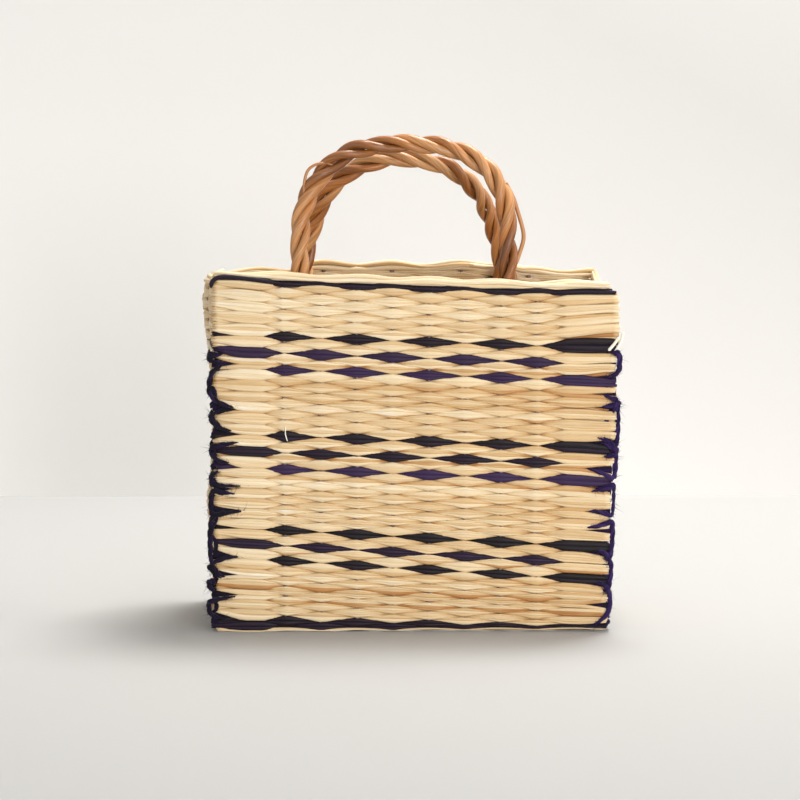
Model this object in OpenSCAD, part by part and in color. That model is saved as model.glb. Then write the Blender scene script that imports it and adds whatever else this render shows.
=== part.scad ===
// Open-topped box bag of woven rush. One mat is folded to make the front, the base and the rear,
// two narrow mats are sewn in as its sides with wool yarn, and two handles of twisted willow
// stand inside the walls, bound to them with twine.

/* [Bag] */
// Width of the front, over the cut ends of the reeds
bag_w = 236; // [200:1:300]
// Height of the walls, from the floor to the rim
bag_h = 212; // [170:1:280]
// Depth from front to rear, over the weave
bag_d = 100; // [80:1:140]
// Thickness of a mat, from crest to crest
mat_t = 4.5; // [4:0.1:6]
// Height of the round border along the top of a mat
rim_h = 2.2; // [1.5:0.1:4]
// Radius of the fold between a wall and the base
fold_r = 2.5; // [2:0.1:4]
// Clearance between a mat and whatever stands against it
seat_gap = 0.25; // [0.2:0.05:0.5]

/* [Weave] */
// Warps in the front, and as many in the rear
warp_count = 8; // [6:1:10]
// Length of the reeds past the outermost warps of the front and rear
reed_overhang = 43; // [30:1:55]
// Warps in a side mat
side_warp_count = 3; // [2:1:4]
// Length of the reeds past the outermost warps of a side mat
side_overhang = 24; // [16:1:30]
// Height of a reed's crest over the hollows on the outside
weave_relief = 1.7; // [0.8:0.1:1.8]
// Height of the ridges on the inside
inner_relief = 0.7; // [0.4:0.1:1]
// Ridges under the base
base_ridges = 15; // [11:2:19]

/* [Dyed bands] */
// Row of reeds where the first band starts, counted from the rim
first_band_row = 12; // [10:2:16]
// Bands of dyed reeds
band_count = 3; // [2:1:4]
// Rows from one band to the next
band_period = 18; // [16:2:22]
// Dyed reeds in a band
band_reeds = 3; // [2:1:3]
// Rows from one dyed reed to the next within a band
band_step = 3; // [3:2:5]
// Dyed rows in the line under the rim and in the line over the base
line_rows = 2; // [1:1:3]
// Plain rows over the line under the rim of the rear
rear_line_row = 2; // [0:2:4]

/* [Handles] */
// Diameter of a willow rod
rod_d = 5.4; // [4:0.1:6]
// Space between the rods of one handle
rod_gap = 0.2; // [0.1:0.05:0.4]
// Length of one full turn of the twist
twist_pitch = 52; // [48:1:70]
// Distance between the two legs of a handle
handle_w = 124; // [100:1:150]
// Distance of the handles from the middle of the bag, to the right
handle_shift = -4; // [-10:0.5:10]
// Height of the front handle's middle line over the rim
front_rise = 79; // [60:1:100]
// Height of the rear handle's middle line over the rim
rear_rise = 69; // [60:1:100]
// Height over the rim at which the front handle's legs start to bend
front_leg_rise = 18; // [10:1:30]
// Height over the rim at which the rear handle's legs start to bend
rear_leg_rise = 6; // [4:1:20]
// Length of the legs inside the bag
leg_depth = 60; // [45:1:90]
// Distance that the front handle's top leans to the rear
front_lean = 14; // [0:1:20]
// Distance that the rear handle's top leans to the front
rear_lean = 36; // [20:1:45]
// Height by which the rear handle's left shoulder stands over its right one, halved
rear_skew = 2.5; // [0:0.5:6]

/* [Twine] */
// Diameter of the twine that binds a leg to the wall
twine_d = 2; // [1.5:0.1:3]
// Turns of twine round a leg
twine_turns = 6; // [3:1:8]
// Distance from the rim down to the middle of a binding
binding_drop = 32; // [25:1:40]

/* [Seam yarn] */
// Diameter of the yarn that runs along a seam
yarn_d = 2.8; // [2:0.1:3.6]
// Diameter of a stitch
stitch_d = 2.4; // [1.6:0.1:3.2]
// Length of a stitch on the front and rear
stitch_len = 16; // [10:1:22]
// Length of a stitch on a side
side_stitch_len = 9; // [6:1:14]
// Row of reeds at which the first stitch lies, an even number
first_stitch_row = 18; // [12:2:24]
// Rows from one stitch to the next, an even number
stitch_row_count = 6; // [4:2:10]
// Stitches along the foot of a side
foot_stitch_count = 5; // [3:1:8]

/* [Hidden] */
$fn = 40;

rush_colour = "#e0c48e";
dyed_colour = "#35244c";
willow_colour = "#b9773f";
twine_colour = "#d6bd86";
yarn_colour = "#472a78";

// Rows of the weave, from the border at the rim to the fold, and their places
row_count = first_band_row + band_count * band_period + line_rows;
row_pitch = (bag_h - rim_h - fold_r) / row_count;
rows_z = [for (k = [0 : row_count]) bag_h - rim_h - k * row_pitch];

// The rows of the front were beaten down unevenly: rows by which they stand over an even spacing,
// at the left and at the right outermost warp, and the closest rows as a share of an even row
lower_band_row = row_count - line_rows - 12;
rim_line_end = line_rows + 1;
base_line_start = row_count - line_rows - 1;
left_slip = [
    [0, 0], [rim_line_end, 1.5], [first_band_row, 1.4], [first_band_row + 2 * band_reeds * band_step + 6, -0.55],
    [lower_band_row, -0.7], [base_line_start, -0.7], [row_count, 0]
];
right_slip = [
    [0, 0], [rim_line_end, 0.3], [first_band_row, -0.2], [first_band_row + 2 * band_reeds * band_step + 6, -2.4],
    [lower_band_row, -3.85], [base_line_start, -1.2], [row_count, 0]
];
tight_share = 0.7;

// Columns of the front: the cut ends, the middle of each overhang, and the warps between them
warp_pitch = (bag_w - 2 * reed_overhang) / (warp_count - 1);
columns_x = concat(
    [-bag_w / 2, -bag_w / 2 + reed_overhang / 2],
    [for (i = [0 : warp_count - 1]) -bag_w / 2 + reed_overhang + i * warp_pitch],
    [bag_w / 2 - reed_overhang / 2, bag_w / 2]
);
column_count = len(columns_x);

// Side mats stand on the base between the front and the rear
side_foot = mat_t + seat_gap;
side_w = bag_d - 2 * (mat_t + seat_gap);
side_row_pitch = (bag_h - rim_h - side_foot) / row_count;
side_rows_z = [for (k = [0 : row_count]) bag_h - rim_h - k * side_row_pitch];
side_warp_pitch = (side_w - 2 * side_overhang) / (side_warp_count - 1);
side_columns_x = concat(
    [-side_w / 2],
    [for (i = [0 : side_warp_count - 1]) -side_w / 2 + side_overhang + i * side_warp_pitch],
    [side_w / 2]
);

// Straight columns at each end of a row: the front's reeds run level over their overhang
front_level = 1;
side_level = 0;

// Steps of the round border and of the fold, and the share of a base ridge that is hollow
rim_steps = 6;
fold_steps = 4;
base_hollow_share = 0.5;
base_pitch = (bag_d - 2 * mat_t) / base_ridges;

// Rope of three rods: the helix is wide enough for straight facets to stay apart
rope_rods = 3;
rod_sides = 8;
leg_steps = 9;
arch_steps = 26;
front_power = 2.2;
rear_power = 2;
lean_power = 1.5;
ring_gap = (leg_depth + max(front_leg_rise, rear_leg_rise)) / leg_steps;
helix_r = (rod_d + rod_gap) / sqrt(3) / cos(180 * ring_gap / twist_pitch);
rope_r = helix_r + rod_d / 2;
leg_y = bag_d / 2 - mat_t - seat_gap - rope_r;

// Turns of twine overlap a little, so that a binding is one piece
twine_overlap_share = 0.1;
twine_step = twine_d * (1 - twine_overlap_share);
binding_r = rope_r + seat_gap + twine_d / 2;

// The yarn lies on the cut ends of the reeds, its stitches in the hollows between them
yarn_x = bag_w / 2 + seat_gap + yarn_d / 2;
yarn_y = bag_d / 2 - mat_t / 2;
yarn_z = max(mat_t, yarn_d) / 2;
yarn_top = rows_z[first_stitch_row - 2];
groove_angle = atan(weave_relief / (tight_share * row_pitch));
stitch_y = bag_d / 2 - weave_relief + (stitch_d / 2 + seat_gap / 2) / cos(groove_angle);
last_stitch_row = row_count - 2 * line_rows;

// Unit vector along v
function unit(v) = v / norm(v);

// Points of a profile in y and z, set at one x
function at_x(x, profile) = [for (p = profile) [x, p[0], p[1]]];

// The same list from its last entry to its first
function backwards(list) = [for (i = [len(list) - 1 : -1 : 0]) list[i]];

// Whole numbers from a to b, either way
function count(a, b) = a <= b ? [for (i = [a : b]) i] : backwards(count(b, a));

// Heights of the rows at each column of a woven face; past the outermost warps they stay level
function slipped_row(k, x) =
    let (
        edge = bag_w / 2 - reed_overhang,
        across = (max(-edge, min(edge, x)) + edge) / (2 * edge),
        left = lookup(k, left_slip)
    )
        rows_z[k] + row_pitch * (left + across * (lookup(k, right_slip) - left));
front_z = [for (x = columns_x) [for (k = [0 : row_count]) slipped_row(k, x)]];
rear_z = [for (x = columns_x) rows_z];
side_z = [for (x = side_columns_x) side_rows_z];

// A row of reeds is dyed in the lines under the rim and over the base, and in the bands; the
// line under the rim lies lower by the rows of a drop
function in_band(row) =
    row >= 0 && row < band_count * band_period
    && (row % band_period) % band_step == 0
    && row % band_period < band_reeds * band_step;
function is_dyed(k, drop) =
    (k > drop && k <= line_rows + drop) || (k < row_count && k >= row_count - line_rows)
    || in_band(k - first_band_row);

// In a plain weave a row passes over every second column, and its neighbours over the others
function is_over(k, c, columns, level) = (k + max(level, min(columns - 1 - level, c))) % 2 == 0;

// Depth of the surface under the crests; a hollow is left where a dyed reed lies
function depth(k, c, columns, level, drop) =
    k > 0 && k < row_count && is_over(k, c, columns, level) && !is_dyed(k, drop) ? 0 : weave_relief;

// Crests and hollows of a woven face that looks to the front, with its crests at y = 0
function weave_points(xs, zs, level, drop) = [
    for (k = [0 : row_count]) for (c = [0 : len(xs) - 1])
        [xs[c], depth(k, c, len(xs), level, drop), zs[c][k]]
];

// Two triangles to a cell, parted along the line that joins its two hollows
function weave_faces(columns, start) = [
    for (k = [0 : row_count - 1]) for (c = [0 : columns - 2])
        let (a = start + k * columns + c, b = a + 1, d = a + columns, e = d + 1)
            each (k + c) % 2 == 0 ? [[a, b, d], [b, e, d]] : [[a, b, e], [a, e, d]]
];

// Four-sided strips between two rows of profile points that start at left and right
function strip_faces(left, right, points) = [
    for (i = [0 : points - 2]) [left + i + 1, right + i + 1, right + i, left + i]
];

// Triangles from one point to each pair of neighbours in a list
function fan_faces(tip, list) = [for (i = [0 : len(list) - 2]) [tip, list[i], list[i + 1]]];

// Two triangles to each step between two lists of points that run side by side
function ladder_faces(a, b) = [
    for (i = [0 : len(a) - 2]) each [[a[i], a[i + 1], b[i + 1]], [a[i], b[i + 1], b[i]]]
];

// The same faces, seen from their other side
function turned(faces) = [for (f = faces) backwards(f)];

// Left end of a wall: its round border, then the woven rows against the ridges inside
function wall_faces(woven, border, inside) = concat(
    fan_faces(woven[0], concat([inside[0]], backwards(border))), ladder_faces(woven, inside)
);

// Left end of the folded mat: the front, the base with a fan at each fold, and the rear
function end_faces(front, rear, skin, base) =
    let (
        rim = len(rim_profile),
        waves = len(floor_profile),
        near = skin + rim + row_count,
        far = near + waves + 1,
        top = far + rim + row_count,
        far_fold = base + fold_steps + waves
    )
        concat(
            wall_faces(front, count(skin, skin + rim - 1), count(skin + rim, near)),
            fan_faces(near, concat([front[row_count]], count(base, base + fold_steps), [near + 1])),
            ladder_faces(count(base + fold_steps, far_fold - 1), count(near + 1, far - 1)),
            fan_faces(far, concat(
                [far - 1], count(far_fold - 1, far_fold + fold_steps - 1),
                [rear[row_count]]
            )),
            turned(wall_faces(rear, count(top, top - rim + 1), count(top - rim, far)))
        );

// Round border from the outside of a wall over to its inside, in depth and height
rim_profile = [
    for (i = [1 : rim_steps - 1])
        let (a = 180 - i * 180 / rim_steps)
            [mat_t / 2 * (1 + cos(a)), bag_h - rim_h + rim_h * sin(a)]
];

// Ridges down the inside of a wall that ends at the height foot, a point to each row outside
function inside_profile(foot) = [
    for (k = [0 : row_count])
        [mat_t - (k < row_count ? k % 2 : 0) * inner_relief,
         bag_h - rim_h - k * (bag_h - rim_h - foot) / row_count]
];

// Profile of one wall of the folded mat, from the rim to the inner corner, in y and z
front_profile = [for (p = concat(rim_profile, inside_profile(mat_t))) [p[0] - bag_d / 2, p[1]]];
rear_profile = [for (p = backwards(front_profile)) [-p[0], p[1]]];

// Fold at the foot of the front, and a wave along the base with a point for each bend of it
fold_profile = [
    for (i = [1 : fold_steps])
        let (a = 180 + i * 90 / fold_steps)
            [fold_r * (1 + cos(a)) - bag_d / 2, fold_r * (1 + sin(a))]
];
function wave_profile(low, high) = [
    for (i = [1 : base_ridges - 1])
        let (
            y = (i - base_ridges / 2) * base_pitch,
            half = base_pitch * base_hollow_share / 2
        )
            each [[y - half, low], [y, high], [y + half, low]]
];

// The base has flat crests below, and a ridge inside over each hollow between them
floor_profile = wave_profile(mat_t - inner_relief, mat_t);
ridge_profile = wave_profile(0, weave_relief);
base_profile = concat(
    fold_profile, ridge_profile, [for (p = backwards(fold_profile)) [-p[0], p[1]]]
);
skin_profile = concat(front_profile, floor_profile, rear_profile);

// Front, base and rear in one mat: two woven faces, joined over the rims and under the base
module folded_mat() {
    skin = len(skin_profile);
    base = len(base_profile);
    face = (row_count + 1) * column_count;
    front = weave_points(columns_x, front_z, front_level, 0);
    rear = weave_points(columns_x, rear_z, front_level, rear_line_row);
    skin_l = 2 * face;
    skin_r = skin_l + skin;
    base_l = skin_r + skin;
    base_r = base_l + base;
    foot = row_count * column_count;
    last = column_count - 1;
    points = concat(
        [for (p = front) [p[0], p[1] - bag_d / 2, p[2]]],
        [for (p = rear) [-p[0], bag_d / 2 - p[1], p[2]]],
        at_x(-bag_w / 2, skin_profile), at_x(bag_w / 2, skin_profile),
        at_x(-bag_w / 2, base_profile), at_x(bag_w / 2, base_profile)
    );
    rims = concat(
        fan_faces(skin_l, concat([skin_r], count(last, 0))),
        fan_faces(skin_r + skin - 1, concat([skin_l + skin - 1], count(face + last, face)))
    );
    folds = concat(
        fan_faces(base_l, concat(count(foot, foot + last), [base_r])),
        fan_faces(base_r + base - 1, concat(count(face + foot, face + foot + last),
                                            [base_l + base - 1]))
    );
    front_l = [for (k = [0 : row_count]) k * column_count];
    front_r = [for (k = front_l) k + last];
    rear_l = [for (k = front_r) k + face];
    rear_r = [for (k = front_l) k + face];
    ends = concat(
        end_faces(front_l, rear_l, skin_l, base_l),
        turned(end_faces(front_r, rear_r, skin_r, base_r))
    );
    color(rush_colour)
        polyhedron(points, concat(
            weave_faces(column_count, 0), weave_faces(column_count, face),
            strip_faces(skin_l, skin_r, skin), strip_faces(base_r, base_l, base),
            rims, folds, ends
        ));
}

// Left end of a side mat
function side_end_faces(woven, skin) =
    let (rim = len(rim_profile))
        wall_faces(woven, count(skin, skin + rim - 1), count(skin + rim, skin + rim + row_count));

// A side mat as it hangs before it is turned to its side: woven outside, ridged inside
module side_mat() {
    columns = len(side_columns_x);
    profile = concat(rim_profile, inside_profile(side_foot));
    skin = len(profile);
    skin_l = (row_count + 1) * columns;
    skin_r = skin_l + skin;
    foot = row_count * columns;
    last = columns - 1;
    points = concat(
        weave_points(side_columns_x, side_z, side_level, 0),
        at_x(-side_w / 2, profile), at_x(side_w / 2, profile)
    );
    edges = concat(
        fan_faces(skin_l, concat([skin_r], count(last, 0))),
        fan_faces(skin_l + skin - 1, concat(count(foot, foot + last), [skin_r + skin - 1]))
    );
    woven_l = [for (k = [0 : row_count]) k * columns];
    woven_r = [for (k = woven_l) k + last];
    ends = concat(
        side_end_faces(woven_l, skin_l), turned(side_end_faces(woven_r, skin_r))
    );
    color(rush_colour)
        polyhedron(points, concat(
            weave_faces(columns, 0), strip_faces(skin_l, skin_r, skin), edges, ends
        ));
}

// The stretch of one dyed reed that shows between columns a and b of row k: a low pointed ridge
// that lies in the hollow left for it, cut straight where it reaches the end of the mat
module dyed_float(k, a, b, xs, zs) {
    span = b - a + 1;
    tip_l = a > 0 ? [[xs[a - 1], weave_relief, zs[a - 1][k]]] : [];
    tip_r = b < len(xs) - 1 ? [[xs[b + 1], weave_relief, zs[b + 1][k]]] : [];
    points = concat(
        [for (c = [a : b]) [xs[c], weave_relief, zs[c][k - 1]]],
        [for (c = [a : b]) [xs[c], 0, zs[c][k]]],
        [for (c = [a : b]) [xs[c], weave_relief, zs[c][k + 1]]],
        tip_l, tip_r
    );
    crest = span;
    lower = 2 * span;
    left = 3 * span;
    right = left + len(tip_l);
    slopes = [
        for (i = [0 : 1 : span - 2])
            each [[i, i + 1, crest + i + 1, crest + i],
                  [crest + i, crest + i + 1, lower + i + 1, lower + i]]
    ];
    end_l = a > 0 ? [[left, 0, crest], [left, crest, lower]] : [[0, crest, lower]];
    end_r = len(tip_r) > 0
        ? [[span - 1, right, crest + span - 1], [crest + span - 1, right, lower + span - 1]]
        : [[lower + span - 1, crest + span - 1, span - 1]];
    seat = concat(
        count(lower, lower + span - 1), len(tip_r) > 0 ? [right] : [],
        count(span - 1, 0), a > 0 ? [left] : []
    );
    polyhedron(points, concat(slopes, end_l, end_r, [seat]));
}

// Every stretch of dyed reed that shows on one woven face
module dyed_face(xs, zs, level, drop) {
    last = len(xs) - 1;
    color(dyed_colour)
        for (k = [1 : row_count - 1])
            if (is_dyed(k, drop)) {
                if (is_over(k, 0, last + 1, level)) dyed_float(k, 0, level, xs, zs);
                for (c = [1 + level : last - 1 - level])
                    if (is_over(k, c, last + 1, level)) dyed_float(k, c, c, xs, zs);
                if (is_over(k, last, last + 1, level)) dyed_float(k, last - level, last, xs, zs);
            }
}

// Middle line of a handle, from the foot of its left leg over the arch to the right one
function handle_line(rise, leg_rise, power_of_arch, lean, skew) =
    let (
        leg_x = handle_w / 2,
        bend_z = bag_h + leg_rise,
        leg_gap = (leg_depth + leg_rise) / leg_steps,
        leg = [for (i = [0 : leg_steps - 1]) bag_h - leg_depth + i * leg_gap],
        arch = [
            for (i = [0 : arch_steps])
                let (t = i * 180 / arch_steps, power = 2 / power_of_arch)
                    [-leg_x * sign(cos(t)) * pow(abs(cos(t)), power),
                     bend_z + (rise - leg_rise) * pow(abs(sin(t)), power) + skew * sin(2 * t)]
        ],
        flat = concat(
            [for (z = leg) [-leg_x, z]], arch, [for (z = backwards(leg)) [leg_x, z]]
        )
    )
        [for (p = flat)
            [p[0] + handle_shift, lean * pow(max(0, p[1] - bag_h) / rise, lean_power) - leg_y, p[1]]];

// Length along a line up to each of its points
function run_lengths(line) = [
    for (i = 0, s = 0; i < len(line);
         s = s + (i < len(line) - 1 ? norm(line[i + 1] - line[i]) : 0), i = i + 1) s
];

// One of the three rods of a handle, wound round the handle's middle line
module handle_rod(line, number) {
    rings = len(line);
    runs = run_lengths(line);
    points = [
        for (i = [0 : rings - 1])
            let (
                along = unit(line[min(i + 1, rings - 1)] - line[max(i - 1, 0)]),
                across = unit(cross([0, 1, 0], along)),
                back = cross(along, across),
                turn = 360 * (runs[i] / twist_pitch + number / rope_rods),
                middle = line[i] + helix_r * (cos(turn) * across + sin(turn) * back)
            )
                for (j = [0 : rod_sides - 1])
                    let (a = 360 * j / rod_sides)
                        middle + rod_d / 2 * (cos(a) * across + sin(a) * back)
    ];
    walls = [
        for (i = [0 : rings - 2]) for (j = [0 : rod_sides - 1])
            let (
                a = i * rod_sides + j,
                b = i * rod_sides + (j + 1) % rod_sides,
                c = a + rod_sides,
                d = b + rod_sides
            )
                each [[a, c, d], [a, d, b]]
    ];
    ends = [count(0, rod_sides - 1), count(rings * rod_sides - 1, (rings - 1) * rod_sides)];
    color(willow_colour)
        polyhedron(points, concat(walls, ends));
}

module front_handle_rod(number) {
    handle_rod(handle_line(front_rise, front_leg_rise, front_power, front_lean, 0), number);
}

// The rear handle is turned to face the rear, so that its left shoulder is on its right there
module rear_handle_rod(number) {
    line = handle_line(rear_rise, rear_leg_rise, rear_power, rear_lean, rear_skew);
    mirrored = [for (p = line) [p[0], -p[1], p[2]]];
    handle_rod(mirrored, number);
}

// Section through the turns of twine, at the radius of their middle
module twine_section() {
    for (i = [0 : twine_turns - 1])
        translate([0, (i - (twine_turns - 1) / 2) * twine_step]) circle(d = twine_d);
}

// Binding round the right or left leg of a handle, with its ends on the inside of the front wall
module binding(side) {
    color(twine_colour)
        translate([handle_shift + side * handle_w / 2, -leg_y, bag_h - binding_drop]) {
            rotate_extrude(angle = 180) translate([binding_r, 0]) twine_section();
            for (s = [-1, 1])
                translate([s * binding_r, 0, 0]) rotate([90, 0, 0])
                    linear_extrude(rope_r) twine_section();
        }
}

// The same binding on the inside of the rear wall
module rear_binding(side) {
    mirror([0, 1, 0]) binding(side);
}

// Row next to the even row k that is a hollow at an end column of a woven face
function groove_row(k, c) = k + (c + 1) % 2;

// A stitch that comes round a corner: along the hollow, over the cut ends, and on to the side
module stitch(z, side_end) {
    for (p = [[-bag_w / 2 + stitch_len, -stitch_y], [-yarn_x, -stitch_y], [-yarn_x, side_end]])
        translate([p[0], p[1], z]) sphere(d = stitch_d);
    translate([-yarn_x, -stitch_y, z]) rotate([0, 90, 0])
        cylinder(d = stitch_d, h = yarn_x - bag_w / 2 + stitch_len);
    translate([-yarn_x, -stitch_y, z]) rotate([-90, 0, 0])
        cylinder(d = stitch_d, h = stitch_y + side_end);
}

// Heights of the stitches at an end column of a woven face
function stitch_heights(rows, c) = [
    for (k = [first_stitch_row : stitch_row_count : last_stitch_row]) rows[groove_row(k, c)]
];

// Yarn of the left side: down the near corner, along the foot, up the far corner
module seam_yarn(near, far) {
    side_end = -bag_d / 2 + side_foot + side_stitch_len;
    color(yarn_colour) {
        for (s = [-1, 1]) {
            translate([-yarn_x, s * yarn_y, yarn_z]) {
                cylinder(d = yarn_d, h = yarn_top - yarn_z);
                sphere(d = yarn_d);
            }
            translate([-yarn_x, s * yarn_y, yarn_top]) sphere(d = yarn_d);
            mirror([0, s > 0 ? 1 : 0, 0])
                for (z = s < 0 ? near : far) stitch(z, side_end);
        }
        translate([-yarn_x, -yarn_y, yarn_z]) rotate([-90, 0, 0])
            cylinder(d = yarn_d, h = 2 * yarn_y);
        for (i = [1 : foot_stitch_count])
            translate([-yarn_x, side_w * (i / (foot_stitch_count + 1) - 1 / 2), yarn_z]) {
                cylinder(d = stitch_d, h = side_stitch_len);
                translate([0, 0, side_stitch_len]) sphere(d = stitch_d);
            }
    }
}

module left_seam_yarn() {
    seam_yarn(stitch_heights(front_z[0], 1), stitch_heights(rows_z, column_count - 2));
}

module right_seam_yarn() {
    rotate([0, 0, 180])
        seam_yarn(stitch_heights(rows_z, 1), stitch_heights(front_z[column_count - 1], column_count - 2));
}

module left_side() {
    translate([-bag_w / 2, 0, 0]) rotate([0, 0, -90]) children();
}

module right_side() {
    translate([bag_w / 2, 0, 0]) rotate([0, 0, 90]) children();
}

module front_wall() {
    translate([0, -bag_d / 2, 0]) children();
}

module rear_wall() {
    translate([0, bag_d / 2, 0]) rotate([0, 0, 180]) children();
}

folded_mat();
left_side() side_mat();  // left_side_mat
right_side() side_mat();  // right_side_mat
front_wall() dyed_face(columns_x, front_z, front_level, 0);  // front_dyed_reeds
rear_wall() dyed_face(columns_x, rear_z, front_level, rear_line_row);  // rear_dyed_reeds
left_side() dyed_face(side_columns_x, side_z, side_level, 0);  // left_dyed_reeds
right_side() dyed_face(side_columns_x, side_z, side_level, 0);  // right_dyed_reeds
front_handle_rod(0);  // front_handle_rod_1
front_handle_rod(1);  // front_handle_rod_2
front_handle_rod(2);  // front_handle_rod_3
rear_handle_rod(0);  // rear_handle_rod_1
rear_handle_rod(1);  // rear_handle_rod_2
rear_handle_rod(2);  // rear_handle_rod_3
binding(-1);  // front_left_binding
binding(1);  // front_right_binding
rear_binding(-1);  // rear_left_binding
rear_binding(1);  // rear_right_binding
left_seam_yarn();
right_seam_yarn();
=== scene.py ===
import bpy
import numpy as np
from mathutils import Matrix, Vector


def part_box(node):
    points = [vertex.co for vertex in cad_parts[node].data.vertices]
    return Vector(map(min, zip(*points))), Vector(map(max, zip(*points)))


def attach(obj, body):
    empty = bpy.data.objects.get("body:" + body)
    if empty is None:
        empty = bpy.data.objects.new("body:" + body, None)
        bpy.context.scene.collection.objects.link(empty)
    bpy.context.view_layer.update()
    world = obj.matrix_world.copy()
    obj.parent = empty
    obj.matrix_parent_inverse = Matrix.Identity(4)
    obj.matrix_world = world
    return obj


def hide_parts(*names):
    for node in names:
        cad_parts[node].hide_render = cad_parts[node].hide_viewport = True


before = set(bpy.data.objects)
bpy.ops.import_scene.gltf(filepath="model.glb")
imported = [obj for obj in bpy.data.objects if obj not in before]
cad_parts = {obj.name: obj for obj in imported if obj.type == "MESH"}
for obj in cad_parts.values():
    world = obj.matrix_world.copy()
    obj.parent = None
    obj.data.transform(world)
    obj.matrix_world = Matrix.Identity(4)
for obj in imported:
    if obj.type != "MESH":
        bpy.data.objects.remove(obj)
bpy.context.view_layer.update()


# Front wall of the folded mat. Bundles of two to four dry rush reeds run across the bag and pass
# over and under eight warps; their ends overhang the outer warps and are sewn to the side mats.
# The rows were beaten down unevenly, so they fall a little to the right.
MM = 0.001
half_w, half_d, rim_z = np.array(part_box("folded_mat")[1]) / MM
mat_t = 4.5
wall_middle = half_d - mat_t / 2
first_plain_row, last_row = 3, 67
line_rows = (1, 2, 66, 67)
band_rows = (12, 15, 18, 30, 33, 36, 48, 51, 54)
dyed_rows = np.array(sorted(line_rows + band_rows))
plain_rows = np.setdiff1d(np.arange(first_plain_row, last_row + 1), dyed_rows)
reed_overhang = 43
warp_count = 8
warp_pitch = 2 * (half_w - reed_overhang) / (warp_count - 1)
first_warp_x = reed_overhang - half_w
row_marks = (-1, 0, 3, 12, 36, 54, 65, last_row, last_row + 1)
front_left_z = (215.5, 211.6, 206.9, 177.6, 98.4, 43, 9.8, 3.0, 1.2)
front_right_z = (210.6, 207.0, 202.2, 172.9, 93.3, 34.6, 5.6, 2.6, 1.5)
marks_left_x, marks_right_x = -75, 56
left_lift_rows, left_lift = (-1, 0, 2, 7, 10, 11.6), (-1.6, 1.8, 2.4, 2.4, 1.4, 0)
right_lift_rows, right_lift = (0, 1, 3, 4, 8, 10.5, 12), (2.2, 2.4, 2.8, 3.8, 5.0, 5.6, 0)
end_rows = (0, 1, 3, 11, 13, 28, 33, 45, 54, last_row)
left_ends = (117.6, 118.2, 118.6, 118.6, 119.2, 118.4, 118.4, 118.4, 119.2, 120.4)
right_ends = (117.0, 120.8, 123.4, 124.2, 122.8, 122.4, 120.8, 119.6, 118.6, 118.2)
left_step, right_step = 0.6, 0.8
fade_run, right_fade = 20, 0.25
seam_rows_left = np.array([17.3, 25.2, 29.8, 35.3, 40.5, 44.7, 53.4, 57.2, 61.2, 65.4])
seam_rows_right = np.array([17.5, 20.2, 22.4, 29.2, 34, 37.6, 41.8, 44.8, 49, 55.4, 60, 65])
rows_past_foot, most_drawn, drawn_share = 3, 0.85, 0.2
reed_sides, front_stations = 8, 64
straw_pith, straw_pale, straw_mid = (0.97, 0.93, 0.84), (0.91, 0.765, 0.535), (0.825, 0.63, 0.375)
straw_tan, straw_orange = (0.66, 0.42, 0.19), (0.50, 0.23, 0.07)


def smooth(t):
    """Ease from 0 to 1 for t from 0 to 1, held outside: t t (3 - 2 t)."""
    t = np.clip(t, 0, 1)
    return t * t * (3 - 2 * t)


def zigzag(u, sharp):
    """Wave of period 2 between 1 at even u and -1 at odd u; the nearer sharp is to 1, the
    straighter its flanks: arcsin(sharp cos(pi u)) / arcsin(sharp)."""
    return np.arcsin(sharp * np.cos(np.pi * u)) / np.arcsin(sharp)


def front_height(row, x):
    """Height of a row number on the front wall: the heights marked at two places across the
    wall, joined by straight lines along the rows and between the rows. The ends of the rows
    over the first band fan out upwards, more so on the right."""
    left = np.interp(row, row_marks, front_left_z)
    right = np.interp(row, row_marks, front_right_z)
    level = left + (right - left) * (x - marks_left_x) / (marks_right_x - marks_left_x)
    fan = np.clip((np.abs(x) + first_warp_x) / reed_overhang, 0, 1)
    return level + fan * np.where(x < 0, np.interp(row, left_lift_rows, left_lift),
                                  np.interp(row, right_lift_rows, right_lift))


def wall_phase(x, end, warp, pitch, count, end_fade):
    """Place along a row counted in warps. In an overhang one step takes a share of the pitch, and
    then the row stays on its side of the mat; towards its end it fades back to the middle."""
    middle_x = warp + pitch * (count - 1) / 2
    step = pitch * np.where(x < middle_x, left_step, right_step)
    inner = (np.abs(x - middle_x) - pitch * (count - 1) / 2) / step
    fade = end_fade * smooth((np.abs(x - middle_x) - end) / fade_run + 1)
    fade = fade * np.where(x < middle_x, 1, right_fade)
    beyond = np.sign(x - middle_x) * (np.clip(inner, 0, 1) + fade)
    inside = np.clip((x - warp) / pitch, 0, count - 1)
    return inside + beyond


def drawn_in(row, seams):
    """Where a row stands between two stitches of a seam, -1 at the upper one and 1 at the lower,
    and how far in rows the stitches can draw it towards the middle of the group."""
    edges = np.concatenate([[0], seams, [last_row + rows_past_foot]])
    place = np.clip(np.searchsorted(edges, row) - 1, 0, len(edges) - 2)
    size = edges[place + 1] - edges[place]
    return 2 * (row - edges[place]) / size - 1, np.minimum(most_drawn, drawn_share * size)


def front_ends(row):
    """How far the reeds of a front row reach to the left and to the right."""
    return np.interp(row, end_rows, left_ends), np.interp(row, end_rows, right_ends)


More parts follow.
